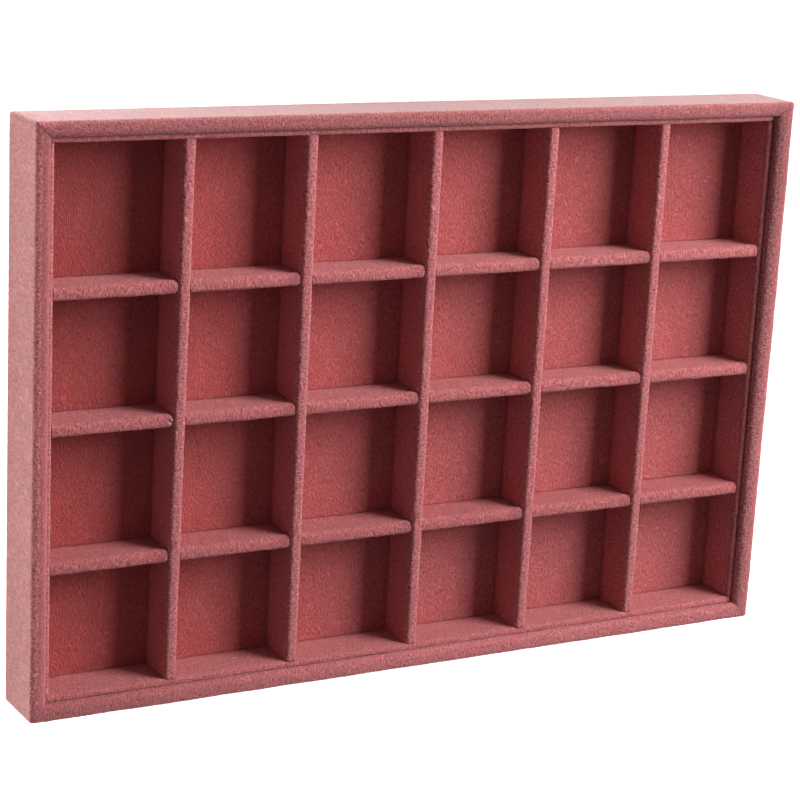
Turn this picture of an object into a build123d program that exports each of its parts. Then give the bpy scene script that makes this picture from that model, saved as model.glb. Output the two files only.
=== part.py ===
from build123d import *
import math
import os

# Velvet-covered display tray with a grid of small compartments. It lies on its underside, with the
# compartments facing +Z, its long side along X and its origin at the centre of the underside.
# Everything is in millimetres.

# Overall size of the covered tray
tray_length = 350.0
tray_width = 240.0
tray_height = 30.0

# Boards, cards and paper, as bought
wall_board_thickness = 4.0
base_board_thickness = 2.5
floor_card_thickness = 1.0
liner_card_thickness = 1.0
divider_card_thickness = 3.0
underside_sheet_thickness = 0.5

# Short-pile velvet, as it lies on a face, and pressed flat where it is glued under the tray
cloth_thickness = 0.8
pressed_cloth_thickness = 0.5

# Joints of the frame boards: the corner rebates and the rebate that the base board is set into
rebate_depth = 2.0
glue_gap = 0.1

# Cloth over the frame: rounded rim, rounded lower edge, rounded corners and the part turned under
rim_radius = 2.0
lower_edge_radius = 1.2
outer_corner_radius = 2.0
inner_corner_radius = 0.5
cloth_turned_under = 12.0

# Sheet that hides the turned cloth, inset from the outline, with its middle pressed up on the base
underside_sheet_inset = 3.0
underside_sheet_corner_radius = 3.0
underside_step_gap = 0.2

# Padded floor panel, dropped in between the walls
floor_panel_gap = 0.3

# Lining strips that stand on the floor against the walls, lower than the rim
liner_below_rim = 4.0
liner_gap = 0.2
liner_turnover = 8.0
liner_edge_radius = 1.1

# Dividers, halved over each other like an egg crate. The cross dividers run along Y and are slotted
# from below, so their upper edges run through. The long dividers run along X and are slotted from
# above, and stand a little lower.
long_divider_drop = 0.5
divider_edge_radius = 1.5
divider_end_gap = 0.15
slot_clearance = 0.15
lap_clearance = 0.2
slot_mouth_radius = 1.2
card_mouth_chamfer = 0.7

# Where hand assembly left each divider: its shift from an even spacing and its turn in degrees
cross_divider_shifts = [-0.3, -2.5, -1.4, -2.0, -1.6]
cross_divider_turns = [0.8, 0.2, 0.1, 0.3, 0.2]
long_divider_shifts = [-4.0, -1.6, -1.5]

# Levels, from the table up
wall_foot_z = underside_sheet_thickness + pressed_cloth_thickness
base_top_z = wall_foot_z + base_board_thickness
floor_card_top_z = base_top_z + floor_card_thickness
floor_z = floor_card_top_z + cloth_thickness
wall_top_z = tray_height - cloth_thickness
liner_height = tray_height - liner_below_rim - floor_z

# Plan sizes of the frame: outside and inside of the boards, then inside of the cloth on them
board_outer_length = tray_length - 2 * cloth_thickness
board_outer_width = tray_width - 2 * cloth_thickness
board_inner_length = board_outer_length - 2 * wall_board_thickness
board_inner_width = board_outer_width - 2 * wall_board_thickness
well_length = board_inner_length - 2 * cloth_thickness
well_width = board_inner_width - 2 * cloth_thickness

# Plan size of the space inside the liners, which the dividers share out
liner_thickness = liner_card_thickness + 2 * cloth_thickness
grid_length = well_length - 2 * (liner_gap + liner_thickness)
grid_width = well_width - 2 * (liner_gap + liner_thickness)

divider_thickness = divider_card_thickness + 2 * cloth_thickness
cross_divider_height = liner_height
long_divider_height = liner_height - long_divider_drop
lap_height = cross_divider_height / 2


def even_centres(count, room):
    """Centres of count dividers that leave equal compartments in the room."""
    clear = (room - count * divider_thickness) / (count + 1)
    pitch = clear + divider_thickness
    return [(index + 1) * pitch - divider_thickness / 2 - room / 2 for index in range(count)]


cross_evenly = even_centres(len(cross_divider_shifts), grid_length)
cross_centres = [even + shift for even, shift in zip(cross_evenly, cross_divider_shifts)]
long_evenly = even_centres(len(long_divider_shifts), grid_width)[::-1]
long_centres = [even + shift for even, shift in zip(long_evenly, long_divider_shifts)]


def block(length, width, bottom, top):
    """Upright block centred on the origin, from one level to another."""
    return Pos(0, 0, bottom) * extrude(Rectangle(length, width), amount=top - bottom)


def rounded_block(length, width, bottom, top, radius):
    """The same with its four upright corners rounded."""
    return Pos(0, 0, bottom) * extrude(RectangleRounded(length, width, radius), amount=top - bottom)


def wall_board(length):
    """Wall board along X, centred: outer face on the XZ plane, inner face at -Y, rebated inside its
    foot for the base board."""
    web = wall_board_thickness - rebate_depth
    rebate_top_z = wall_foot_z + base_board_thickness + glue_gap
    section = Polyline(
        (0, wall_foot_z),
        (-web, wall_foot_z),
        (-web, rebate_top_z),
        (-wall_board_thickness, rebate_top_z),
        (-wall_board_thickness, wall_top_z),
        (0, wall_top_z),
        close=True,
    )
    return extrude(Plane.YZ * make_face(section), amount=length / 2, both=True)


def long_wall_board():
    """Board of a long side, rebated at both ends for the boards of the short sides."""
    board = wall_board(board_outer_length)
    width = wall_board_thickness + glue_gap
    tool = Pos(0, -wall_board_thickness + rebate_depth / 2, 0) * block(
        width, rebate_depth, wall_foot_z, wall_top_z
    )
    for side in (-1, 1):
        board -= Pos(side * (board_outer_length - width) / 2, 0, 0) * tool
    return board


def short_wall_board():
    """Board of a short side, its ends set into the rebates of the long boards."""
    return wall_board(board_inner_width + 2 * (rebate_depth - glue_gap))


def base_board():
    seat = 2 * (rebate_depth - glue_gap)
    return block(board_inner_length + seat, board_inner_width + seat, wall_foot_z, base_top_z)


def frame_cloth():
    """One cloth: up the inside of the walls, over the rim, down the outside and under the base."""
    cloth = rounded_block(
        tray_length, tray_width, underside_sheet_thickness, tray_height, outer_corner_radius
    )
    cloth = fillet(cloth.faces().sort_by(Axis.Z)[0].outer_wire().edges(), lower_edge_radius)
    cloth -= rounded_block(well_length, well_width, base_top_z, tray_height, inner_corner_radius)
    cloth = fillet(cloth.faces().sort_by(Axis.Z)[-1].edges(), rim_radius)
    walls = block(board_outer_length, board_outer_width, wall_foot_z, wall_top_z)
    walls -= block(board_inner_length, board_inner_width, base_top_z, wall_top_z)
    window = 2 * cloth_turned_under
    return cloth - walls - block(
        tray_length - window, tray_width - window, underside_sheet_thickness, wall_foot_z
    )


def underside_sheet():
    """Thin sheet over the turned cloth, its middle pressed up against the base board."""
    inset = 2 * underside_sheet_inset
    step = 2 * (cloth_turned_under + underside_step_gap)
    step_length = tray_length - step
    step_width = tray_width - step
    sheet = rounded_block(
        tray_length - inset,
        tray_width - inset,
        0,
        underside_sheet_thickness,
        underside_sheet_corner_radius,
    )
    sheet += Pos(0, 0, underside_sheet_thickness) * extrude(
        Rectangle(step_length, step_width), amount=pressed_cloth_thickness, taper=45
    )
    bend = 2 * underside_sheet_thickness * (math.sqrt(2) - 1)
    return sheet - extrude(
        Rectangle(step_length - bend, step_width - bend), amount=pressed_cloth_thickness, taper=45
    )


def floor_card():
    edge = 2 * (floor_panel_gap + cloth_thickness)
    return block(well_length - edge, well_width - edge, base_top_z, floor_card_top_z)


def floor_cloth():
    """Cloth over the floor card and down its edges."""
    cloth = rounded_block(
        well_length - 2 * floor_panel_gap,
        well_width - 2 * floor_panel_gap,
        base_top_z,
        floor_z,
        cloth_thickness,
    )
    cloth = fillet(cloth.faces().sort_by(Axis.Z)[-1].edges(), cloth_thickness)
    return cloth - floor_card()


def liner_card(length):
    """Card of a lining strip along X, with its back on the XZ plane, less the cloth behind it."""
    middle = -cloth_thickness - liner_card_thickness / 2
    height = liner_height - cloth_thickness
    return Pos(0, middle, 0) * block(length, liner_card_thickness, floor_z, floor_z + height)


def liner_cloth(length):
    """Cloth up the front of a lining strip, over its top edge and a little way down its back."""
    cloth = Pos(0, -liner_thickness / 2, 0) * block(
        length, liner_thickness, floor_z, floor_z + liner_height
    )
    top_edges = cloth.faces().sort_by(Axis.Z)[-1].edges().filter_by(Axis.X)
    cloth = fillet(top_edges, liner_edge_radius)
    bare_back = Pos(0, -cloth_thickness / 2, 0) * block(
        length, cloth_thickness, floor_z, floor_z + liner_height - liner_turnover
    )
    return cloth - liner_card(length) - bare_back


def slotted_outline(length, height, slots, slot_from, slot_to):
    """Face view of a divider in the XZ plane: slots are the centre and width of each slot."""
    outline = Pos(0, height / 2) * Rectangle(length, height)
    for centre, width in slots:
        slot = Rectangle(width, slot_to - slot_from)
        outline -= Pos(centre, (slot_from + slot_to) / 2) * slot
    return Plane.XZ * outline


def slot_mouths(outline, slots, height):
    """Upper corners of the slots of an outline."""
    corners = outline.vertices().filter_by(lambda v: abs(v.Z - height) < 0.001)
    return [
        corner
        for corner in corners
        if any(abs(abs(corner.X - centre) - width / 2) < 0.001 for centre, width in slots)
    ]


def divider_card(outline):
    return extrude(outline, amount=divider_card_thickness / 2, both=True)


def divider_cloth(outline, length, height):
    """Cloth folded over the upper edge of a divider's card and down both faces."""
    folded = block(length, divider_thickness, 0, height)
    top_edges = folded.faces().sort_by(Axis.Z)[-1].edges().filter_by(Axis.X)
    folded = fillet(top_edges, divider_edge_radius)
    folded &= extrude(outline, amount=divider_thickness / 2, both=True)
    return folded - block(length, divider_card_thickness, 0, height - cloth_thickness)


def cross_divider(turn):
    """Card and cloth of a cross divider along X, its slots open at the foot."""
    length = grid_width - 2 * divider_end_gap
    width = divider_thickness + 2 * slot_clearance + divider_thickness * math.tan(math.radians(turn))
    slots = [(centre / math.cos(math.radians(turn)), width) for centre in long_centres]
    depth = lap_height + lap_clearance
    card_height = cross_divider_height - cloth_thickness
    card = divider_card(slotted_outline(length, card_height, slots, 0, depth))
    outline = slotted_outline(length, cross_divider_height, slots, 0, depth)
    return card, divider_cloth(outline, length, cross_divider_height)


def long_divider(across):
    """Card and cloth of a long divider along X, its slots open at the top."""
    length = grid_length - 2 * divider_end_gap
    slots = []
    for centre, turn in zip(cross_centres, cross_divider_turns):
        lean = math.tan(math.radians(turn))
        width = divider_thickness * (1 + lean) + 2 * slot_clearance
        slots.append((centre + across * lean, width))
    card_height = long_divider_height - cloth_thickness
    card_outline = slotted_outline(length, card_height, slots, lap_height, card_height)
    card_outline = chamfer(slot_mouths(card_outline, slots, card_height), card_mouth_chamfer)
    outline = slotted_outline(length, long_divider_height, slots, lap_height, long_divider_height)
    outline = fillet(slot_mouths(outline, slots, long_divider_height), slot_mouth_radius)
    return divider_card(card_outline), divider_cloth(outline, length, long_divider_height)


def round_the_tray(outer_length, outer_width, long_piece, short_piece):
    """One piece at each side of a rectangle: made along X for the back, then turned round the tray."""
    return {
        "back": Pos(0, outer_width / 2, 0) * long_piece,
        "front": Pos(0, -outer_width / 2, 0) * Rot(0, 0, 180) * long_piece,
        "left": Pos(-outer_length / 2, 0, 0) * Rot(0, 0, 90) * short_piece,
        "right": Pos(outer_length / 2, 0, 0) * Rot(0, 0, -90) * short_piece,
    }


def wall_boards():
    boards = round_the_tray(
        board_outer_length, board_outer_width, long_wall_board(), short_wall_board()
    )
    return {f"wall_board_{side}": board for side, board in boards.items()}


def liners():
    """Cards and cloths of the lining strips: the long ones run through, the short ones between."""
    along = well_length - 2 * liner_gap
    across = well_width - 2 * liner_gap
    between = across - 2 * (liner_thickness + liner_gap)
    pieces = {}
    for name, make in (("card", liner_card), ("cloth", liner_cloth)):
        for side, piece in round_the_tray(along, across, make(along), make(between)).items():
            pieces[f"liner_{name}_{side}"] = piece
    return pieces


def dividers():
    pieces = {}
    for index, (centre, turn) in enumerate(zip(cross_centres, cross_divider_turns), start=1):
        seat = Pos(centre, 0, floor_z) * Rot(0, 0, 90 - turn)
        card, cloth = cross_divider(turn)
        pieces[f"cross_divider_card_{index}"] = seat * card
        pieces[f"cross_divider_cloth_{index}"] = seat * cloth
    for index, centre in enumerate(long_centres, start=1):
        seat = Pos(0, centre, floor_z)
        card, cloth = long_divider(centre)
        pieces[f"long_divider_card_{index}"] = seat * card
        pieces[f"long_divider_cloth_{index}"] = seat * cloth
    return pieces


def tray():
    return {
        "underside_sheet": underside_sheet(),
        "base_board": base_board(),
        **wall_boards(),
        "frame_cloth": frame_cloth(),
        "floor_card": floor_card(),
        "floor_cloth": floor_cloth(),
        **liners(),
        **dividers(),
    }


os.makedirs("parts", exist_ok=True)
for node, shape in tray().items():
    export_step(shape, f"parts/{node}.step")
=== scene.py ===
import math

import bpy
from mathutils import Matrix, Vector


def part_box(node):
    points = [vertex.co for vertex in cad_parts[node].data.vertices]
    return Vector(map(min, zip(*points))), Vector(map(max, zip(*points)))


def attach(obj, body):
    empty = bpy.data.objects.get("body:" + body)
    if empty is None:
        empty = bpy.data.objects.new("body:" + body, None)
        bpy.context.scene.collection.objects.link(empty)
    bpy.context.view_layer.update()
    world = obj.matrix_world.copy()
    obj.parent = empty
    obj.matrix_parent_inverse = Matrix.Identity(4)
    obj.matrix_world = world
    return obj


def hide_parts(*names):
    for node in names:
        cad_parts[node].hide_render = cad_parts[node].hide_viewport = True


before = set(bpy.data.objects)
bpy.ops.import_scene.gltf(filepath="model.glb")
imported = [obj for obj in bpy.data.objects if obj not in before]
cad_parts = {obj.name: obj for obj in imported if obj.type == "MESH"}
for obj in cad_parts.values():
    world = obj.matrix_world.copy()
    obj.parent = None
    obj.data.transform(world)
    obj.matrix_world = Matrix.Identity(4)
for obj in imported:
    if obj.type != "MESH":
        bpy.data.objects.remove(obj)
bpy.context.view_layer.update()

# Camera: it looks down at the tray from the left and a little from the back. The back wall is at the
# top of the picture, so that the tray seems to stand up.
bpy.ops.object.camera_add(
    location=(-0.4735, 0.25073, 0.85765),
    rotation=[math.radians(angle) for angle in (-16.354, -28.205, 3.149)],
)
camera = bpy.context.object
camera.name = "studio_camera"
camera.data.lens = 105.656
camera.data.sensor_width = 36.0
camera.data.clip_start = 0.01
scene = bpy.context.scene
scene.camera = camera

# Light: one large soft box high on the right and towards the back, its long side along Y, and a dim
# white room.
scene.view_settings.view_transform = "Standard"
room = bpy.data.worlds.new("dim_room")
scene.world = room
room.use_nodes = True
room_light = room.node_tree.nodes["Background"]
room_light.inputs["Color"].default_value = (1.0, 1.0, 1.0, 1.0)
room_light.inputs["Strength"].default_value = 0.17
soft_box_place = Vector((0.745, 0.78, 0.775))
bpy.ops.object.light_add(type="AREA", location=soft_box_place)
soft_box = bpy.context.object
soft_box.name = "soft_box"
soft_box.data.shape = "RECTANGLE"
soft_box.data.size = 0.62
soft_box.data.size_y = 1.3
soft_box.data.energy = 26.0
soft_box.rotation_euler = (0.0, math.atan2(soft_box_place.x, soft_box_place.z), 0.0)


# Studio floor: a large sheet of white paper under the tray. It glows a little on the sides that the
# tray shades, so that it is white all round.
class Thread:
    """One output of a material's nodes. Arithmetic on it adds Math nodes."""

    def __init__(self, tree, socket=None):
        self.tree = tree
        self.socket = socket

    def node(self, kind, settings, values, output=0):
        """Any other node: its type, what is set on it, then the values or links of its sockets.

        output is the name or number of the output that comes back.
        """
        made = self.tree.nodes.new(kind)
        for name, value in settings.items():
            setattr(made, name, value)
        for name, value in values.items():
            if isinstance(value, Thread):
                self.tree.links.new(value.socket, made.inputs[name])
            else:
                made.inputs[name].default_value = value
        return Thread(self.tree, made.outputs[output])

    def maths(self, operation, first, second):
        return self.node("ShaderNodeMath", {"operation": operation}, {0: first, 1: second})

    def __add__(self, other):
        return self.maths("ADD", self, other)

    def __radd__(self, other):
        return self.maths("ADD", other, self)

    def __sub__(self, other):
        return self.maths("SUBTRACT", self, other)

    def __rsub__(self, other):
        return self.maths("SUBTRACT", other, self)

    def __mul__(self, other):
        return self.maths("MULTIPLY", self, other)

    def __rmul__(self, other):
        return self.maths("MULTIPLY", other, self)

    def into(self, shader, socket):
        self.tree.links.new(self.socket, shader.inputs[socket])


def new_finish(name, constants):
    """A material, its Principled shader with some sockets set, and a thread to add nodes from."""
    material = bpy.data.materials.new(name)
    material.use_nodes = True
    shader = material.node_tree.nodes["Principled BSDF"]
    for socket, value in constants.items():
        shader.inputs[socket].default_value = value
    return material, shader, Thread(material.node_tree)


def mixed(factor, first, second):
    """Two colours mixed by a factor. A Mix node has its colours at 6 and 7, and their mix at 2."""
    return factor.node(
        "ShaderNodeMix", {"data_type": "RGBA"}, {0: factor, 6: first, 7: second}, output=2
    )


def between(value, low, high, to_low=0.0, to_high=1.0):
    """A value brought from one range to another, smoothly and without passing its ends."""
    ends = {"From Min": low, "From Max": high, "To Min": to_low, "To Max": to_high}
    return value.node(
        "ShaderNodeMapRange", {"interpolation_type": "SMOOTHSTEP"}, {"Value": value, **ends}
    )


black = (0.0, 0.0, 0.0, 1.0)
white = (1.0, 1.0, 1.0, 1.0)
bpy.ops.mesh.primitive_plane_add(size=8.0)
studio_floor = bpy.context.object
studio_floor.name = "studio_floor"
paper, shader, thread = new_finish(
    "studio_paper",
    {
        "Base Color": (0.9, 0.9, 0.9, 1.0),
        "Roughness": 0.9,
        "Specular IOR Level": 0.0,
        "Emission Strength": 2.5,
    },
)
place = thread.node("ShaderNodeTexCoord", {}, {}, output="Object")
x, y = (thread.node("ShaderNodeSeparateXYZ", {}, {0: place}, output=axis) for axis in "XY")
left_glow = between(x, -0.2, 0.0, 1.6, 0.2)
front_glow = between(y, -0.15, 0.0, 1.0, 0.2)
glow = left_glow.maths("MAXIMUM", left_glow, front_glow)
mixed(glow * 0.4, black, white).into(shader, "Emission Color")
studio_floor.data.materials.append(paper)


# Base board and wall boards: thin fibreboard, glued into a shallow box. The long boards are rebated
# at their ends and all four at their foot. Cloth and paper hide them.
def painted(node, material):
    """Gives a CAD node its finish."""
    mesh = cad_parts[node].data
    mesh.materials.clear()
    mesh.materials.append(material)


def pressed_fibres(name, roughness, dark, light, fine, relief, cloudy=None, share=1.0):
    """Board or paper of pressed fibres, its colour mottled from dark to light.

    fine and cloudy are the settings of its two noises, and share is how much the fine one counts.
    relief is how strong and how deep the fibres stand out.
    """
    material, shader, thread = new_finish(name, {"Roughness": roughness})
    place = thread.node("ShaderNodeTexCoord", {}, {}, output="Object")
    fibres = thread.node("ShaderNodeTexNoise", {}, {"Vector": place, **fine})
    mottling = fibres
    if cloudy:
        clouds = thread.node("ShaderNodeTexNoise", {}, {"Vector": place, **cloudy})
        mottling = fibres * share + clouds * (1.0 - share)
    mixed(mottling, dark, light).into(shader, "Base Color")
    strength, depth = relief
    bump = {"Strength": strength, "Distance": depth, "Height": fibres}
    thread.node("ShaderNodeBump", {}, bump).into(shader, "Normal")
    return material


boards = ["wall_board_back", "wall_board_front", "wall_board_left", "wall_board_right", "base_board"]
fibreboard = pressed_fibres(
    "fibreboard",
    roughness=0.8,
    dark=(0.20, 0.12, 0.065, 1.0),
    light=(0.42, 0.29, 0.18, 1.0),
    fine={"Scale": 900.0, "Detail": 4.0, "Roughness": 0.7},
    relief=(0.3, 0.0001),
    cloudy={"Scale": 45.0, "Detail": 2.0},
    share=0.7,
)
for board in boards:
    painted(board, fibreboard)


# Frame cloth: one strip of short-pile velvet, glued up the inside of the walls, over the rim, down
# the outside and a little way under the base. It is mitred at the corners, where its rounding
# tightens and the fold is drawn with painted shade.
def velvet(name, pile, deep, tips, gaps, sheen, sheen_tint, strokes):
    """Short-pile velvet: nap lines, tufts and clouds in the cloth's own plane.

    deep and pile colour the pile that lies, gaps and tips the pile that splays. strokes is how close
    the tufts are, along and across the cloth. Over this colour go painted sheen, which makes the
    frame's outsides paler and greyer, painted shade in grooves and folds, and painted light, which
    scales the colour up or down where the light falls more or less.
    """
    material, shader, thread = new_finish(
        name,
        {
            "Roughness": 0.85,
            "Specular IOR Level": 0.15,
            "Subsurface Weight": 0.5,
            "Subsurface Radius": (1.0, 0.35, 0.35),
            "Subsurface Scale": 0.0012,
            "Sheen Weight": sheen,
            "Sheen Roughness": 0.55,
            "Sheen Tint": sheen_tint,
        },
    )

    def noise(where, scale, detail, roughness=0.5, output="Fac"):
        values = {"Vector": where, "Scale": scale, "Detail": detail, "Roughness": roughness}
        return thread.node("ShaderNodeTexNoise", {}, values, output)

    def drawn_out(where, shares):
        return thread.node("ShaderNodeVectorMath", {"operation": "MULTIPLY"}, {0: where, 1: shares})

    def pushed(where, push, far):
        values = {0: push, 1: (far, far, 0.0), 2: where}
        return thread.node("ShaderNodeVectorMath", {"operation": "MULTIPLY_ADD"}, values)

    def scaled(vector, scale):
        values = {0: vector, "Scale": scale}
        return thread.node("ShaderNodeVectorMath", {"operation": "SCALE"}, values)

    metres = thread.node("ShaderNodeUVMap", {"uv_map": "cloth"}, {})
    millimetres = scaled(metres, 1000.0)
    wide = noise(millimetres, 0.17, 1.0, output="Color")
    close = noise(millimetres, 0.55, 1.0, output="Color")
    combed = pushed(pushed(millimetres, wide, 8.0), close, 1.6)
    nap = noise(drawn_out(combed, (1.4, 0.72, 1.0)), 1.0, 2.0)
    leaning = pushed(millimetres, wide, 5.0)
    tufts = noise(drawn_out(leaning, strokes), 1.0, 3.0, 0.65)
    grain = noise(drawn_out(leaning, (0.95, 0.3, 1.0)), 1.0, 3.0, 0.7)
    clouds = noise(millimetres, 0.06, 3.0)
    splay_and_painted_sheen, painted_sheen, painted_shade, lean = (
        thread.node("ShaderNodeAttribute", {"attribute_name": state}, {}, output="Fac")
        for state in ("splay_and_painted_sheen", "painted_sheen", "painted_shade", "lean")
    )
    lines = between(nap, 0.36, 0.64)
    spots = between(tufts, 0.38, 0.62)
    height = (lines * 0.55 + spots * 0.45) * (1.0 - splay_and_painted_sheen * 0.35)
    lying = mixed(height * 0.8 + clouds * 0.5 - 0.15, deep, pile)
    splayed = mixed(spots * 0.8 + lines * 0.2, gaps, tips)
    # The splayed pile's paler tips are partly the cloth's own open pile and partly painted sheen, on the
    # floor and the long dividers.
    colour = mixed(splay_and_painted_sheen, lying, splayed)
    # Painted sheen: the frame's outsides are mixed towards a paler pink, and its back side on towards
    # grey, in place of the light that grazes them.
    sheen_side_deep = (0.455, 0.16, 0.15, 1.0)
    sheen_side_pile = (0.675, 0.31, 0.29, 1.0)
    sheen_side_grey = (0.475, 0.34, 0.34, 1.0)
    side = mixed(
        between(grain, 0.36, 0.64) * 0.7 + clouds * 0.7 - 0.2, sheen_side_deep, sheen_side_pile
    )
    colour = mixed(painted_sheen, colour, side)
    colour = mixed(painted_sheen - 1.0, colour, sheen_side_grey)
    # Painted shade: grooves and mitre folds are mixed towards half the gaps colour.
    dark = tuple(value * 0.5 for value in gaps[:3]) + (1.0,)
    colour = mixed(painted_shade * (1.25 - spots * 0.95), colour, dark)
    # Painted light and shade: the colour is scaled up or down by the lean attribute, lighter or darker
    # where the light falls more or less.
    scaled(colour, lean + 1.0).into(shader, "Base Color")
    bump = {"Strength": 1.0, "Distance": 0.00033, "Height": height}
    thread.node("ShaderNodeBump", {}, bump).into(shader, "Normal")
    return material


frame_velvet_finish = velvet(
    "frame_velvet",
    pile=(0.62, 0.185, 0.20, 1.0),
    deep=(0.40, 0.085, 0.095, 1.0),
    tips=(0.78, 0.31, 0.31, 1.0),
    gaps=(0.27, 0.055, 0.065, 1.0),
    sheen=0.22,
    sheen_tint=(1.0, 0.75, 0.75, 1.0),
    strokes=(1.8, 0.9, 1.0),
)


def traced(corners, step):
    """Points along a path that turns left at rounded corners, each with its distance along the path.

    corners are places and radii, and a radius of 0 only marks a place. step gives the spacing there.
    """
    points = []
    done = 0.0
    here = Vector(corners[0][0])
    for place, radius in corners[1:]:
        corner = Vector(place)
        ahead = (corner - here).normalized()
        side = Vector((ahead.y, -ahead.x))
        total = (corner - here).length - radius
        marks = [0.0]
        while marks[-1] < total - 1e-9:
            marks.append(marks[-1] + step(here + ahead * min(marks[-1], total)))
        for mark in marks[:-1]:
            run = mark * total / marks[-1]
            points.append((here + ahead * run, done + run))
        done += total
        centre = here + ahead * total - side * radius
        count = math.ceil(radius * math.pi / 2 / step(corner))
        for index in range(count):
            turn = math.pi / 2 * index / count
            spoke = side * math.cos(turn) + ahead * math.sin(turn)
            points.append((centre + spoke * radius, done + radius * turn))
        done += radius * math.pi / 2
        here = centre + ahead * radius
    points.append((here, done))
    return points


def zipped(first, second):
    """Triangles between two rows of vertices, each a list of numbers and distances along the row."""
    triangles = []
    a = b = 0
    shares = [
        [(far - row[0][1]) / (row[-1][1] - row[0][1]) for _, far in row] for row in (first, second)
    ]
    while a < len(first) - 1 or b < len(second) - 1:
        ahead_a = shares[0][a + 1] if a < len(first) - 1 else 2.0
        ahead_b = shares[1][b + 1] if b < len(second) - 1 else 2.0
        if ahead_a <= ahead_b:
            triangles.append((first[a][0], first[a + 1][0], second[b][0]))
            a += 1
        else:
            triangles.append((first[a][0], second[b + 1][0], second[b][0]))
            b += 1
    return triangles


def cloth_over(name, stations, outer, inner, place, cuts=(), closed=False):
    """A sheet with its pile side, its glued side and its cut edges, as one closed mesh.

    stations are distances along the sheet, outer and inner the paths of its two sides across it, and
    place puts a point of a path at a station. Each cut is its first and last station and, for each
    stretch that is cut away, its first and last row on the outer and on the inner path.
    """
    count = len(stations)
    rows = len(outer)
    backs = len(inner)
    spans = count if closed else count - 1

    def front(station, row):
        return station % count * rows + row

    def back(station, row):
        return count * rows + station % count * backs + row

    def edge(station, top, bottom, low, high):
        return zipped(
            [(front(station, row), outer[row][1]) for row in range(top, bottom + 1)],
            [(back(station, row), inner[row][1]) for row in range(low, high + 1)],
        )

    faces = []
    for here in range(spans):
        after = here + 1
        stretches = [stretch for start, end, found in cuts if start <= here < end for stretch in found]
        for row in range(rows - 1):
            if not any(top <= row < bottom for top, bottom, _, _ in stretches):
                near = (front(here, row), front(here, row + 1))
                far = (front(after, row + 1), front(after, row))
                faces.append(near + far)
        for row in range(backs - 1):
            if not any(low <= row < high for _, _, low, high in stretches):
                below = (back(here, row), back(after, row))
                above = (back(after, row + 1), back(here, row + 1))
                faces.append(below + above)
        hems = {(0, 0), (rows - 1, backs - 1)}
        for top, bottom, low, high in stretches:
            hems ^= {(top, low), (bottom, high)}
        for row, far_row in hems:
            faces.append((front(here, row), front(after, row), back(after, far_row), back(here, far_row)))
    if not closed:
        faces += edge(0, 0, rows - 1, 0, backs - 1)
        faces += edge(count - 1, 0, rows - 1, 0, backs - 1)
    for start, end, found in cuts:
        for stretch in found:
            faces += edge(start, *stretch)
            faces += edge(end, *stretch)
    points = [place(station, point) for station in stations for point, _ in outer]
    points += [place(station, point) for station in stations for point, _ in inner]
    mesh = bpy.data.meshes.new(name)
    mesh.from_pydata(points, [], faces)
    lay = [(station, far) for station in range(count) for _, far in outer]
    lay += [(station, far) for station in range(count) for _, far in inner]
    flat = mesh.uv_layers.new(name="cloth")
    along = [station if isinstance(station, float) else station[0] for station in stations]
    for corner, loop in zip(flat.data, mesh.loops):
        station, far = lay[loop.vertex_index]
        corner.uv = (along[station], far)
    sheet = bpy.data.objects.new(name, mesh)
    scene.collection.objects.link(sheet)
    return sheet


def chosen(piece):
    """Makes a piece the only selected and the active object."""
    bpy.ops.object.select_all(action="DESELECT")
    piece.select_set(True)
    bpy.context.view_layer.objects.active = piece


def facing_out(piece):
    """Turns a closed piece's faces outwards and takes away loose vertices."""
    chosen(piece)
    bpy.ops.object.mode_set(mode="EDIT")
    bpy.ops.mesh.select_all(action="SELECT")
    bpy.ops.mesh.delete_loose(use_verts=True, use_edges=True, use_faces=False)
    bpy.ops.mesh.select_all(action="SELECT")
    bpy.ops.mesh.normals_make_consistent(inside=False)
    bpy.ops.object.mode_set(mode="OBJECT")


pressed_flat = (0.0, 0.0, 0.0, 0.0, 0.0)
wide_clouds = 0.014
tuft_clouds = 0.001


def teased(piece, bare, outer_count, uneven, tuft):
    """Lifts and lowers the pile by two clouds, as far as it is free.

    bare gives, at a vertex, how free the pile is, how far it splays with some painted sheen, how
    much painted sheen and painted shade it gets, and how much lighter or darker it is painted where
    the light falls. The pile side has the first outer_count vertices.
    """
    group = piece.vertex_groups.new(name="pile")
    states = [pressed_flat] * len(piece.data.vertices)
    for vertex in piece.data.vertices[:outer_count]:
        states[vertex.index] = bare(vertex.co)
        free = states[vertex.index][0]
        if free > 0:
            group.add([vertex.index], free, "REPLACE")
    for index, name in enumerate(("splay_and_painted_sheen", "painted_sheen", "painted_shade", "lean"), start=1):
        values = piece.data.attributes.new(name, "FLOAT", "POINT")
        values.data.foreach_set("value", [state[index] for state in states])
    for name, size, strength in (("slow", wide_clouds, uneven), ("tuft", tuft_clouds, tuft)):
        clouds = bpy.data.textures.new(f"{piece.name}_{name}", "CLOUDS")
        clouds.noise_scale = size
        clouds.noise_depth = 1
        modifier = piece.modifiers.new(name, "DISPLACE")
        modifier.texture = clouds
        modifier.texture_coords = "LOCAL"
        modifier.vertex_group = "pile"
        modifier.strength = strength
        modifier.mid_level = 0.45
        chosen(piece)
        bpy.ops.object.modifier_apply(modifier=name)
    bpy.ops.object.shade_smooth()


def finished(piece, material, node):
    """Gives a sheet of cloth its finish, hangs it on the root body and hides the CAD cloth it stands for.
    """
    piece.data.materials.append(material)
    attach(piece, "root")
    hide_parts(node)


def ramp(value, low, high):
    """How far a value has come from low to high, from 0 to 1."""
    return min(1.0, max(0.0, (value - low) / (high - low)))


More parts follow.
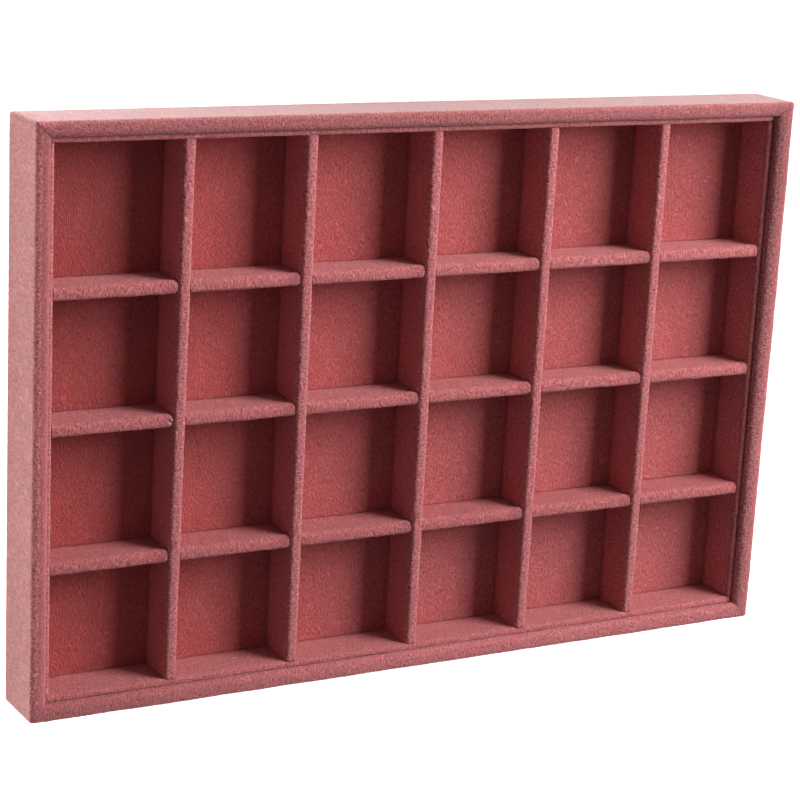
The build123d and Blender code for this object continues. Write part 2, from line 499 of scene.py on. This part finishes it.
tray_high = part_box("frame_cloth")[1]
half_length = tray_high.x
half_width = tray_high.y
rim_z = tray_high.z
base_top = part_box("base_board")[1].z
cloth = 0.0008
pressed_cloth = 0.0005
under = 0.0005
turned_under = 0.012
foot_radius = 0.0012
rim_width = 0.0056
rim_radius = 0.002
board_radius = 0.0012
shoulder_radius = 0.003
overhang = 0.0006
overhang_depth = 0.0032
overhang_end = 0.0038
rim_inside = 0.0045
corner_radius = 0.0013
corner_tightening = 0.15
fold_radius = 0.0004

# How much fuller the padding and pile are at each corner, along X and along Y, at the foot and at the
# rim. The corners are back right, back left, front left and front right.
fuller_foot = ((0.0024, 0.0003), (0.0011, 0.0003), (0.0014, 0.0011), (0.0013, 0.0011))
fuller_rim = ((0.0024, 0.0003), (0.0001, 0.0003), (0.0006, 0.0011), (0.0013, 0.0011))


def corner_place(corner, turn, inset, level, share):
    """A point on a rounded corner of the strip, at a level and at an inset from the tray's outline.

    share says how far the padding and pile make the outline fuller there.
    """
    radius = max(fold_radius, corner_radius - corner_tightening * inset)
    x_side = 1 if corner in (0, 3) else -1
    y_side = 1 if corner in (0, 1) else -1
    more_x, more_y = (
        foot + (rim - foot) * level / rim_z for foot, rim in zip(fuller_foot[corner], fuller_rim[corner])
    )
    length = half_length + share * more_x
    width = half_width + share * more_y
    x = x_side * (length - inset - radius) + radius * math.cos(turn)
    y = y_side * (width - inset - radius) + radius * math.sin(turn)
    return Vector((x, y))


def frame_place(station, point):
    """A point of the strip: along a side by its share of the side, or round a corner by its turn."""
    _, corner, turn, along = station
    inset = -point.x
    share = ramp(inset, rim_inside, 0.0) * ramp(point.y, under, under + 0.001)
    here = corner_place(corner, turn, inset, point.y, share)
    if along > 0:
        after = (corner + 1) % 4
        here = here.lerp(corner_place(after, turn, inset, point.y, share), along)
    return (here.x, here.y, point.y)


def frame_step(point):
    """Spacing of the rows: finest on the rim, and wide where nothing shows."""
    if point.y > rim_z - rim_inside:
        return 0.0005
    if point.x > -0.001:
        return 0.0012
    return 0.004


frame_outer = traced(
    [
        ((-turned_under, under), 0),
        ((0, under), foot_radius),
        ((0, rim_z), rim_radius),
        ((-rim_width - overhang, rim_z), shoulder_radius),
        ((-rim_width - overhang, rim_z - overhang_depth), 0),
        ((-rim_width, rim_z - overhang_end), 0),
        ((-rim_width, base_top), 0),
    ],
    frame_step,
)
frame_inner = traced(
    [
        ((-turned_under, under + pressed_cloth), 0),
        ((-cloth, under + pressed_cloth), fold_radius),
        ((-cloth, rim_z - cloth), board_radius),
        ((-rim_width + cloth, rim_z - cloth), board_radius),
        ((-rim_width + cloth, base_top), 0),
    ],
    lambda point: 0.03,
)

# Each station is its distance along the strip, its corner, its turn, and its share of the side that
# follows. Two corners take corner_room off a side, and stations near_corner are closer together.
corner_turns = 6
corner_step = 0.0005
corner_room = 0.004
near_corner = 0.007
close_step = 0.00045
side_step = 0.00092
frame_stations = []
run = 0.0
for corner in range(4):
    for index in range(corner_turns + 1):
        turn = math.pi / 2 * (corner + index / corner_turns)
        frame_stations.append((run, corner, turn, 0.0))
        run += corner_step
    side = 2 * (half_length if corner in (0, 2) else half_width) - corner_room
    marks = [0.0]
    while marks[-1] < side:
        to_end = min(marks[-1], abs(side - marks[-1]))
        marks.append(marks[-1] + (close_step if to_end < near_corner else side_step))
    for mark in marks[1:-1]:
        share = mark / marks[-1]
        turn = math.pi / 2 * (corner + 1)
        frame_stations.append((run + side * share, corner, turn, share))
    run += side
frame_velvet = cloth_over(
    "frame_velvet", frame_stations, frame_outer, frame_inner, frame_place, closed=True
)
facing_out(frame_velvet)


def frame_bare(point):
    """The strip gets a painted sheen down the outside, and its pile splays over the rim.

    Its groove by the lining and its mitre folds get painted shade, each side of the rim is painted
    lighter or darker where the light falls more or less, and a corner blends its two sides.
    """
    if point.z < foot_radius:
        return pressed_flat
    insets = {
        "left": half_length + point.x,
        "right": half_length - point.x,
        "front": half_width + point.y,
        "back": half_width - point.y,
    }
    side = min(insets, key=insets.get)
    inset = insets[side]
    depth = rim_z - point.z
    on_rim = ramp(depth, 0.0025, 0.001)
    inwards = ramp(inset, 0.0017, 0.0029)
    # Painted sheen: the outside below the rim is painted paler, and the back side more so.
    painted_sheen = 0.0
    if inset < rim_radius:
        painted_sheen = ramp(depth, 0.0008, 0.0023)
        if side in ("left", "back"):
            painted_sheen *= 1.0 + 0.6 * ramp(insets["left"] - insets["back"], -0.002, 0.006)
    towards_front = ramp(-point.y, -0.1, 0.05)
    towards_back = ramp(point.y, -0.04, 0.11)
    towards_middle = ramp(point.x, -0.17, 0.0)
    inner_edge = ramp(inset, 0.0036, 0.005)
    splays = {
        "left": 0.85 - 0.7 * inwards,
        "right": 0.4 + 0.6 * inwards,
        "front": 0.45,
        "back": 0.6,
    }
    # Painted light and shade on each side of the rim: lighter or darker where the light falls more or
    # less.
    painted_light_by_side = {
        "left": 0.2 + inwards * (0.22 * towards_front - 0.3),
        "right": 0.09 - 0.27 * inwards + 0.16 * inner_edge - 0.36 * towards_back,
        "front": 0.19 * towards_middle - 0.03,
        "back": -0.11,
    }
    weights = {name: ramp(insets[name] - inset, 0.008, 0.0) for name in insets}
    splay_and_painted_sheen, lean = (
        sum(looks[name] * weights[name] for name in insets) / sum(weights.values())
        for looks in (splays, painted_light_by_side)
    )
    # Painted shade in the groove between the rim and the lining, and along the mitre folds.
    groove_shade = ramp(inset, rim_inside, 0.0055) * ramp(depth, 0.0012, 0.0032)
    groove_shade *= 0.15 if side == "right" else 0.5
    to_mitre = abs(min(insets["left"], insets["right"]) - min(insets["front"], insets["back"]))
    sharp_mitre = insets["left"] + insets["back"] < 0.02
    fold_shade = ramp(to_mitre, 0.0007, 0.0002) * on_rim * (1.0 if sharp_mitre else 0.3)
    if inset > rim_inside:
        on_rim = 1.0
    return 0.35 + 0.65 * on_rim, on_rim * splay_and_painted_sheen, painted_sheen, max(groove_shade, fold_shade), on_rim * lean


outer_count = len(frame_stations) * len(frame_outer)
teased(frame_velvet, frame_bare, outer_count, uneven=0.0004, tuft=0.00045)
finished(frame_velvet, frame_velvet_finish, "frame_cloth")


# Underside sheet: smooth board paper, glued over the turned cloth, its middle pressed up on the base.
# It hides the cloth's cut edges, and the tray stands on it.
underside_paper = pressed_fibres(
    "underside_paper",
    roughness=0.7,
    dark=(0.30, 0.28, 0.265, 1.0),
    light=(0.40, 0.375, 0.355, 1.0),
    fine={"Scale": 1400.0, "Detail": 4.0},
    relief=(0.25, 0.00008),
    cloudy={"Scale": 30.0, "Detail": 3.0},
    share=0.5,
)
painted("underside_sheet", underside_paper)


# Floor panel: a white-lined card with velvet glued over its face and down its edges, dropped between
# the walls. It is the floor of all the compartments.
card = pressed_fibres(
    "white_lined_card",
    roughness=0.75,
    dark=(0.72, 0.70, 0.66, 1.0),
    light=(0.86, 0.85, 0.82, 1.0),
    fine={"Scale": 1100.0, "Detail": 3.0},
    relief=(0.2, 0.00006),
)
painted("floor_card", card)

inner_velvet_finish = velvet(
    "inner_velvet",
    pile=(0.60, 0.128, 0.128, 1.0),
    deep=(0.37, 0.053, 0.055, 1.0),
    tips=(0.80, 0.325, 0.335, 1.0),
    gaps=(0.42, 0.10, 0.11, 1.0),
    sheen=0.25,
    sheen_tint=(1.0, 0.6, 0.6, 1.0),
    strokes=(1.6, 0.6, 1.0),
)


def along_x(station, point):
    """Place of a straight sheet: along X, across Y."""
    return (station, point.x, point.y)


def spaced(low, high, step, marks=()):
    """Distances from low to high that meet every mark."""
    stations = []
    stops = sorted({low, high, *marks})
    for start, end in zip(stops, stops[1:]):
        count = max(1, math.ceil((end - start) / step - 1e-6))
        stations += [start + (end - start) * index / count for index in range(count)]
    return stations + [high]


floor_low, floor_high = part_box("floor_cloth")
floor_edge_radius = 0.0008
floor_step = 0.0013
floor_outer = traced(
    [
        ((floor_high.y, floor_low.z), 0),
        ((floor_high.y, floor_high.z), floor_edge_radius),
        ((floor_low.y, floor_high.z), floor_edge_radius),
        ((floor_low.y, floor_low.z), 0),
    ],
    lambda point: floor_step,
)
floor_inner = traced(
    [
        ((floor_high.y - cloth, floor_low.z), 0),
        ((floor_high.y - cloth, floor_high.z - cloth), 0),
        ((floor_low.y + cloth, floor_high.z - cloth), 0),
        ((floor_low.y + cloth, floor_low.z), 0),
    ],
    lambda point: 0.03,
)
floor_stations = spaced(floor_low.x, floor_high.x, floor_step)
floor_velvet = cloth_over("floor_velvet", floor_stations, floor_outer, floor_inner, along_x)
facing_out(floor_velvet)
shown_x = 0.167
shown_y = 0.1125


def floor_bare(point):
    """Painted sheen makes the floor paler to the right and front, painted shade darkens it at the back
    left and back right, and the rest is painted a little lighter.
    """
    if abs(point.x) > shown_x or abs(point.y) > shown_y:
        return pressed_flat
    splay_and_painted_sheen = ramp(point.x, -0.15, 0.03) * (0.2 + 0.16 * ramp(-point.y, -0.09, 0.09))
    lean = 0.02 - 0.19 * ramp(-point.x, 0.1, 0.14) * ramp(point.y, -0.08, 0.04)
    lean -= 0.08 * ramp(point.x, 0.03, 0.09) * ramp(point.y, 0.03, 0.07)
    return 1.0, splay_and_painted_sheen, 0.0, 0.0, lean


outer_count = len(floor_stations) * len(floor_outer)
floor_flat = (floor_outer[-1][1], floor_stations[-1] - floor_stations[0])
teased(floor_velvet, floor_bare, outer_count, uneven=0.0003, tuft=0.0003)
finished(floor_velvet, inner_velvet_finish, "floor_cloth")


# Lining strips: narrow velvet-covered cards that stand on the floor against the four walls. The
# velvet goes up the front, over the top edge and a little way down the back.
floor_z = floor_high.z
liner_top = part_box("liner_cloth_back")[1].z
liner_thickness = 0.0026
liner_turnover = 0.008
liner_back_radius = 0.0004


def edge_step(top):
    """Spacing across a strip or divider: fine at its top edge, then wider and wider."""
    fine_depth = 0.0028
    return lambda point: (
        0.0004 if point.y > top - fine_depth else min(0.003, 0.0005 + (top - point.y) * 0.16)
    )


liner_inner = traced(
    [
        ((-cloth, liner_top - liner_turnover), 0),
        ((-cloth, liner_top - cloth), 0),
        ((-liner_thickness + cloth, liner_top - cloth), 0),
        ((-liner_thickness + cloth, floor_z), 0),
    ],
    lambda point: 0.02,
)


def bare_above(top, looks, slots=()):
    """Pile that stands free down to the foot.

    looks are depths below the top, deepest first, each with how far the pile splays with some painted
    sheen, how much painted shade it gets and how much lighter or darker it is painted there. slots
    are places along X just before which the pile is painted darker, a painted shade of the cross
    divider there.
    """

    def bare(point):
        depth = top - point.z
        splay_and_painted_sheen, painted_shade, lean = looks[0][1]
        for (deep, low), (shallow, high) in zip(looks, looks[1:]):
            if depth < deep:
                share = ramp(depth, deep, shallow)
                splay_and_painted_sheen, painted_shade, lean = (a + (b - a) * share for a, b in zip(low, high))
        before = [ramp(x - point.x, 0.008, 0.001) for x in slots if x > point.x]
        above_foot = ramp(point.z, floor_z, floor_z + 0.001)
        free = above_foot * (0.7 + 0.3 * ramp(depth, 0.004, 0.0015))
        return free, splay_and_painted_sheen, 0.0, painted_shade, lean - 0.25 * max(before, default=0.0)

    return bare


walls = {"back": (0, 1), "left": (-1, 0), "front": (0, -1), "right": (1, 0)}
liner_pile = {"back": 0.0007, "left": 0.0002, "front": 0.0, "right": 0.0}
liner_front_radius = {"back": 0.0011, "left": 0.0011, "front": 0.0011, "right": 0.0018}
# Each look gives how far the pile splays with some painted sheen, its painted shade and how much lighter
# or darker it is painted. The right lining is painted darker up to its top corner, a painted shade of the
# rim, and a little lighter on its top.
liner_looks = {
    "back": [(0.004, (0.5, 0.0, 0.0)), (0.0015, (0.75, 0.0, 0.0))],
    "left": [(0.004, (0.4, 0.0, 0.0)), (0.0015, (0.8, 0.0, 0.0))],
    "front": [(0.004, (0.5, 0.0, 0.0)), (0.0015, (0.6, 0.0, 0.0))],
    "right": [
        (0.003, (0.75, 0.0, -0.05)),
        (0.0014, (0.7, 0.0, -0.15)),
        (0.0005, (0.6, 0.0, -0.25)),
        (0.0, (0.6, 0.0, 0.1)),
    ],
}
for side, (x_side, y_side) in walls.items():
    low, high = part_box(f"liner_cloth_{side}")
    pile_top = liner_top + liner_pile[side]
    liner_outer = traced(
        [
            ((0, liner_top - liner_turnover), 0),
            ((0, pile_top), liner_back_radius),
            ((-liner_thickness, pile_top), liner_front_radius[side]),
            ((-liner_thickness, floor_z), 0),
        ],
        edge_step(liner_top),
    )
    length = high.x - low.x if x_side == 0 else high.y - low.y
    stations = spaced(-length / 2, length / 2, 0.0008)
    liner = cloth_over(f"liner_velvet_{side}", stations, liner_outer, liner_inner, along_x)
    facing_out(liner)
    wall_face = {"back": high.y, "left": -low.x, "front": -low.y, "right": high.x}[side]
    turn = math.atan2(-x_side, y_side)
    liner.data.transform(Matrix.Rotation(turn, 4, "Z") @ Matrix.Translation((0, wall_face, 0)))
    bare = bare_above(liner_top, liner_looks[side])
    teased(liner, bare, len(stations) * len(liner_outer), uneven=0.0003, tuft=0.0003)
    liner_card = f"liner_card_{side}"
    finished(liner, inner_velvet_finish, f"liner_cloth_{side}")
    painted(liner_card, card)


# Long dividers: cards slotted from above, with velvet folded over the top edge and down both faces.
# They stand a little lower than the cross dividers, and the cut cloth rounds off at each slot.
divider_thickness = 0.0046
slot_clearance = 0.0003
long_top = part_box("long_divider_cloth_1")[1].z
cross_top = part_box("cross_divider_cloth_1")[1].z
lap_z = floor_z + (cross_top - floor_z) / 2
cross_lines = []
for index in range(1, 6):
    low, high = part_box(f"cross_divider_cloth_{index}")
    lean = (high.x - low.x - divider_thickness) / (high.y - low.y)
    cross_lines.append(((low.x + high.x) / 2, lean))


def divider_paths(top, mark, radius, far_radius):
    """Outer and inner path over a divider, with a row at the end of its slots."""
    half = divider_thickness / 2
    inside = half - cloth
    outer = traced(
        [
            ((half, floor_z), 0),
            ((half, mark), 0),
            ((half, top), radius),
            ((-half, top), far_radius),
            ((-half, mark), 0),
            ((-half, floor_z), 0),
        ],
        edge_step(top),
    )
    inner = traced(
        [
            ((inside, floor_z), 0),
            ((inside, mark), 0),
            ((inside, top - cloth), fold_radius),
            ((-inside, top - cloth), fold_radius),
            ((-inside, mark), 0),
            ((-inside, floor_z), 0),
        ],
        lambda point: 0.008,
    )
    return outer, inner


def rows_at(path, level):
    """The first and the last row of a path at a level."""
    rows = [row for row, (point, _) in enumerate(path) if abs(point.y - level) < 1e-7]
    return rows[0], rows[-1]


spread_depth = 0.0016
spread_reach = 0.0028
round_before = 0.0024
round_after = 0.0008
round_drop = 0.0006
round_squeeze = 0.26
slit_reach = 0.0022
slit_start = 0.0013
slit_slope = 0.7
slit_half_width = 0.00038
slit_drop = 0.0014
card_drop = 0.0006
hair = 1e-6


def divider(name, length, top, mark, radii, fuller, slots, from_above, step, torn=None):
    """Velvet of one divider along X: slots are centres and widths.

    radii round its two top corners, and fuller says how far the splayed pile stands out under them.
    torn is the slot at which a slit in the velvet shows the card.
    """
    outer, inner = divider_paths(top, mark, *radii)
    ends = [(centre - width / 2, centre + width / 2) for centre, width in slots]
    close_by = (0.0002, 0.0005, 0.0009, 0.0014, 0.002) if from_above else ()
    marks = [place for pair in ends for place in pair]
    marks += [low - away for low, _ in ends for away in close_by]
    marks += [high + away for _, high in ends for away in close_by]
    stations = spaced(-length / 2, length / 2, step, marks)
    first, last = rows_at(outer, mark)
    low_row, high_row = rows_at(inner, mark)
    if from_above:
        stretches = [(first, last, low_row, high_row)]
    else:
        stretches = [
            (0, first, 0, low_row),
            (last, len(outer) - 1, high_row, len(inner) - 1),
        ]
    cuts = [(stations.index(low), stations.index(high), stretches) for low, high in ends]

    def shoulder(station, point):
        """Spreads the pile at the top edge, and rounds it off where the edge meets a slot."""
        spread = max(0.0, 1 - ((top - spread_depth - point.y) / spread_reach) ** 2)
        across = point.x * (1 + spread * fuller[0 if point.x > 0 else 1] / (divider_thickness / 2))
        if not from_above:
            return (station, across, point.y)
        nearness = max(
            max(ramp(abs(low - station), round_before, 0.0), ramp(abs(station - high), round_after, 0.0))
            for low, high in ends
        )
        round_off = 1 - math.sqrt(1 - nearness**2)
        share = ramp(point.y, mark, top)
        drop = round_drop * round_off * share**2
        if torn is not None and point.y > top - cloth - hair:
            before = ends[torn][0] - station
            on_glued_side = abs(point.y - top + cloth) < hair
            off_slit = abs(point.x + slit_start - slit_slope * before)
            if 0 <= before < slit_reach and on_glued_side:
                drop += card_drop
            elif 0 <= before < slit_reach and off_slit < slit_half_width:
                drop += slit_drop
        return (station, across * (1 - round_squeeze * round_off * share), point.y - drop)

    piece = cloth_over(name, stations, outer, inner, shoulder, cuts)
    facing_out(piece)
    return piece, len(stations) * len(outer), outer[-1][1]


long_radii = (0.0021, 0.0014)
long_fuller = (0.0003, 0.0004)
long_step = 0.0006
torn_divider = 2
first_slot = 0
# The long dividers are painted a little darker, and the first one's pile paler than the last one's, a
# painted sheen.
long_looks = [
    [(0.004, (0.62, 0.0, -0.03)), (0.0015, (0.65, 0.0, -0.03))],
    [(0.004, (0.5, 0.0, -0.03)), (0.0015, (0.6, 0.0, -0.03))],
    [(0.004, (0.34, 0.0, -0.04)), (0.0015, (0.55, 0.0, -0.06))],
]
long_lines = []
for index, looks in enumerate(long_looks, start=1):
    low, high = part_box(f"long_divider_cloth_{index}")
    centre = (low.y + high.y) / 2
    long_lines.append(centre)
    slots = [
        (x + centre * lean, divider_thickness * (1 + lean) + slot_clearance) for x, lean in cross_lines
    ]
    piece, outer_count, wide = divider(
        f"long_divider_velvet_{index}",
        high.x - low.x,
        long_top,
        lap_z,
        long_radii,
        long_fuller,
        slots,
        from_above=True,
        step=long_step,
        torn=first_slot if index == torn_divider else None,
    )
    piece.data.transform(Matrix.Translation((0, centre, 0)))
    bare = bare_above(long_top, looks, [x - width / 2 for x, width in slots])
    teased(piece, bare, outer_count, uneven=0.0004, tuft=0.0005)
    divider_card = f"long_divider_card_{index}"
    finished(
        piece, inner_velvet_finish, f"long_divider_cloth_{index}"
    )
    painted(divider_card, card)


# Cross dividers: the same, slotted from below and pushed down over the long ones, so that their top
# edges run through. They stand as they were pushed in, each a little off square.
cross_radii = (0.0017, 0.0014)
cross_fuller = (-0.0002, 0.0006)
cross_step = 0.0005
lap_gap = 0.0002
# The cross dividers' faces are painted a little lighter and their top edges a little darker, painted
# light and shade.
cross_looks = [(0.004, (0.4, 0.0, 0.06)), (0.0015, (0.72, 0.0, -0.05))]
for index, (x, lean) in enumerate(cross_lines, start=1):
    low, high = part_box(f"cross_divider_cloth_{index}")
    length = (high.y - low.y) - divider_thickness * lean
    slots = [(centre, divider_thickness * (1 + lean) + slot_clearance) for centre in long_lines]
    piece, outer_count, wide = divider(
        f"cross_divider_velvet_{index}",
        length,
        cross_top,
        lap_z + lap_gap,
        cross_radii,
        cross_fuller,
        slots,
        from_above=False,
        step=cross_step,
    )
    turn = math.pi / 2 - math.atan(lean)
    piece.data.transform(Matrix.Translation((x, 0, 0)) @ Matrix.Rotation(turn, 4, "Z"))
    teased(piece, bare_above(cross_top, cross_looks), outer_count, uneven=0.0004, tuft=0.0005)
    divider_card = f"cross_divider_card_{index}"
    finished(
        piece, inner_velvet_finish, f"cross_divider_cloth_{index}"
    )
    painted(divider_card, card)
